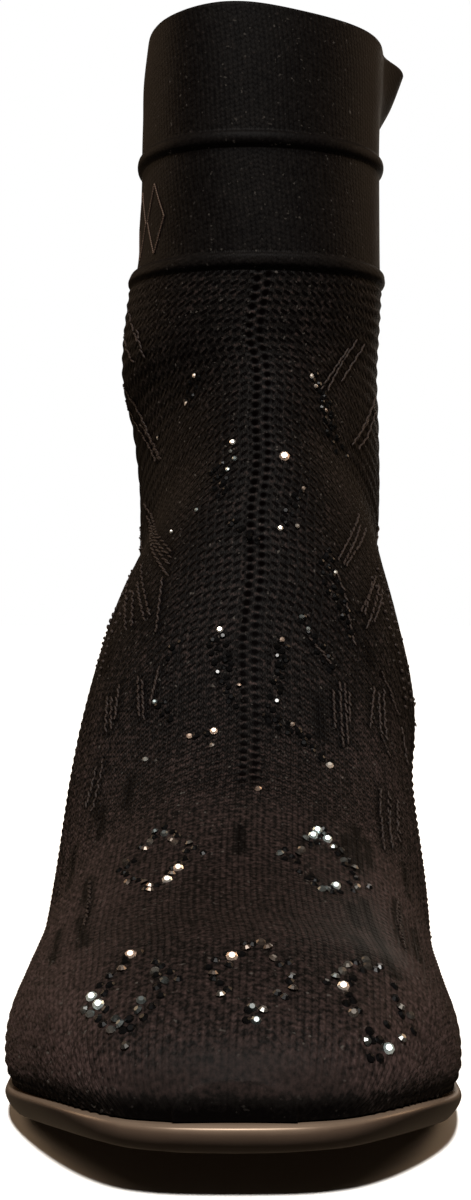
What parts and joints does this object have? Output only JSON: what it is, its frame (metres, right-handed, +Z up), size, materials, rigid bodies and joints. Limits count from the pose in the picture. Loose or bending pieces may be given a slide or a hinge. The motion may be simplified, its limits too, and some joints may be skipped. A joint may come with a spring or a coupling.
{
  "type": "sock boot",
  "caption": "Black knitted ankle sock boot with raised rolls on its shaft, a thin outsole with toe spring, and a block heel.",
  "frame": {"origin": "on the floor, under the middle of the outsole's flat tread, below the ball of the foot", "axes": "+Z up, -Y towards the toe, +Y towards the heel, +X towards the wearer's inner (medial) side"},
  "size_m": [0.0858, 0.2311, 0.2322],
  "materials": {
    "knit": "matte fine knit with small crystals",
    "lining": "matte cloth",
    "glossy_sole": "glossy edge",
    "heel_cover": "satin",
    "rubber": "matte"
  },
  "bodies": {
    "root": {"upper": "knit", "insole": "lining", "outsole": "glossy_sole", "heel": "heel_cover", "top_lift": "rubber"}
  },
  "joints": []
}
